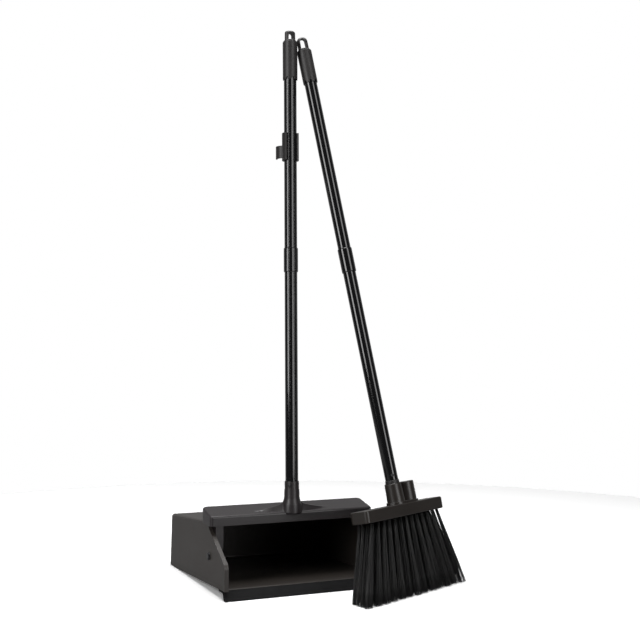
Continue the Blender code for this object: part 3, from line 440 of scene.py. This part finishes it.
def bristle_row(row, form, axes, block_bottom, finish):
    """One row of tufts, each a bundle of strands."""
    dice = random.Random(FIRST_SEED + row)
    middle = (row - (ROW_COUNT - 1) / 2) * ROW_SPACING
    verts, faces, shades = [], [], []
    for tuft in range(TUFTS_PER_ROW):
        x = ((tuft + 0.5) / TUFTS_PER_ROW - 0.5) * TUFT_SPAN
        for ends, bend in tuft_strands(dice, x, middle, block_bottom, axes):
            lay_strand(form, verts, faces, ends, bend, BRISTLE_WIDTH / 2)
            shades.extend([dice.random() ** SHADE_CURVE] * len(form[0]))
    mesh = bpy.data.meshes.new(f"bristles_{row + 1}")
    mesh.from_pydata(verts, [], faces)
    tint = mesh.attributes.new("strand_shade", "FLOAT", "POINT")
    tint.data.foreach_set("value", shades)
    mesh.shade_smooth()
    piece = bpy.data.objects.new(f"bristles_{row + 1}", mesh)
    bpy.context.scene.collection.objects.link(piece)
    return place_piece(piece, f"bristle_row_{row + 1}", finish)


def make_bristles(finishes):
    axes = block_axes()
    upright = axes.inverted()
    block = frame["nodes"]["broom_block"].data
    bottom = min((upright @ vert.co).z for vert in block.vertices)
    form = strand_form()
    for row in range(ROW_COUNT):
        bristle_row(row, form, axes, bottom, finishes["bristle"])


# ------------------------------------------------------------------ studio

def make_camera():
    forward = Vector((
        math.sin(CAMERA_YAW) * math.cos(CAMERA_PITCH),
        math.cos(CAMERA_YAW) * math.cos(CAMERA_PITCH),
        math.sin(CAMERA_PITCH),
    ))
    right = Vector((math.cos(CAMERA_YAW), -math.sin(CAMERA_YAW), 0))
    up = right.cross(forward)
    across = math.cos(CAMERA_ROLL) * right + math.sin(CAMERA_ROLL) * up
    upward = -math.sin(CAMERA_ROLL) * right + math.cos(CAMERA_ROLL) * up
    data = bpy.data.cameras.new("camera")
    data.lens = CAMERA_LENS
    data.sensor_width = CAMERA_SENSOR
    camera = bpy.data.objects.new("camera", data)
    bpy.context.scene.collection.objects.link(camera)
    turn = Matrix((across, upward, -forward)).transposed().to_4x4()
    camera.matrix_world = Matrix.Translation(CAMERA_PLACE) @ turn
    bpy.context.scene.camera = camera


def make_floor():
    """A pale floor: bright to the eye, and a dim grey in the gloss of the tubes and the hood."""
    deselect_all()
    bpy.ops.mesh.primitive_circle_add(
        vertices=96, radius=FLOOR_RADIUS, fill_type="NGON", location=(0.05, AIM_Y, -FLOOR_DROP))
    floor = bpy.context.object
    floor.name = "floor"
    material = bpy.data.materials.new("pale_floor")
    material.use_nodes = True
    nodes = Nodes(material.node_tree)
    nodes.tree.nodes.remove(nodes.tree.nodes["Principled BSDF"])
    dim, bright = (
        nodes.node("ShaderNodeBsdfDiffuse", {}, {"Color": (shade, shade, shade, 1)})
        for shade in (FLOOR_IN_GLOSS, FLOOR_TO_EYE))
    pick = nodes.node("ShaderNodeMixShader", {}, {0: nodes.to_camera(), 1: dim, 2: bright})
    nodes.feed(nodes.tree.nodes["Material Output"].inputs["Surface"], pick)
    floor.data.materials.append(material)


def soft_box(name, azimuth, low, width, radiance):
    """An upright light panel, at an azimuth to the right of the camera's side, facing the object."""
    angle = CAMERA_YAW + math.pi - math.radians(azimuth)
    centre = Vector((math.sin(angle), math.cos(angle), 0)) * PANEL_DISTANCE
    centre.z = (low + PANEL_TOP) / 2
    data = bpy.data.lights.new(name, "AREA")
    data.shape = "RECTANGLE"
    data.size = width
    data.size_y = PANEL_TOP - low
    data.energy = radiance * math.pi * data.size * data.size_y
    light = bpy.data.objects.new(name, data)
    bpy.context.scene.collection.objects.link(light)
    target = Vector((0, AIM_Y, centre.z))
    light.rotation_mode = "QUATERNION"
    light.rotation_quaternion = (target - centre).to_track_quat("-Z", "Y")
    light.location = centre


def overhead(name, place, radius, radiance):
    data = bpy.data.lights.new(name, "AREA")
    data.shape = "DISK"
    data.size = radius * 2
    data.energy = radiance * math.pi ** 2 * radius ** 2
    light = bpy.data.objects.new(name, data)
    bpy.context.scene.collection.objects.link(light)
    light.location = place


def make_lights():
    soft_box("left_panel", azimuth=-41, low=0.28, width=0.86, radiance=6.6)
    soft_box("right_panel", azimuth=43, low=0.02, width=0.90, radiance=3.8)
    overhead("overhead", place=(-0.1, -0.1, 2.1), radius=0.75, radiance=7.0)


def make_world():
    """White to the eye; as light, a white wall behind the set that fades to a dark room."""
    world = bpy.data.worlds.new("studio")
    bpy.context.scene.world = world
    world.use_nodes = True
    nodes = Nodes(world.node_tree)
    place = nodes.node("ShaderNodeTexCoord", out="Generated")
    ahead = (math.sin(CAMERA_YAW), math.cos(CAMERA_YAW), 0.0)
    facing = nodes.node(
        "ShaderNodeVectorMath", {"operation": "DOT_PRODUCT"}, {0: place, 1: ahead}, out="Value")
    room = nodes.node("ShaderNodeValToRGB", {"stops": ROOM_SHADES}, {"Fac": facing})
    background = nodes.tree.nodes["Background"]
    nodes.feed(background.inputs["Color"], nodes.mix(nodes.to_camera(), room, (1, 1, 1, 1)))
    background.inputs["Strength"].default_value = 1.0


def main():
    bpy.context.scene.view_settings.view_transform = "Standard"
    finishes = make_finishes()
    for node, obj in frame["nodes"].items():
        obj.data.materials.clear()
        obj.data.materials.append(finishes[slot_of(node)])
    for node, width in ROUNDINGS.items():
        soften(node, width, finishes[slot_of(node)])
    make_bristles(finishes)
    make_floor()
    make_camera()
    make_lights()
    make_world()


main()
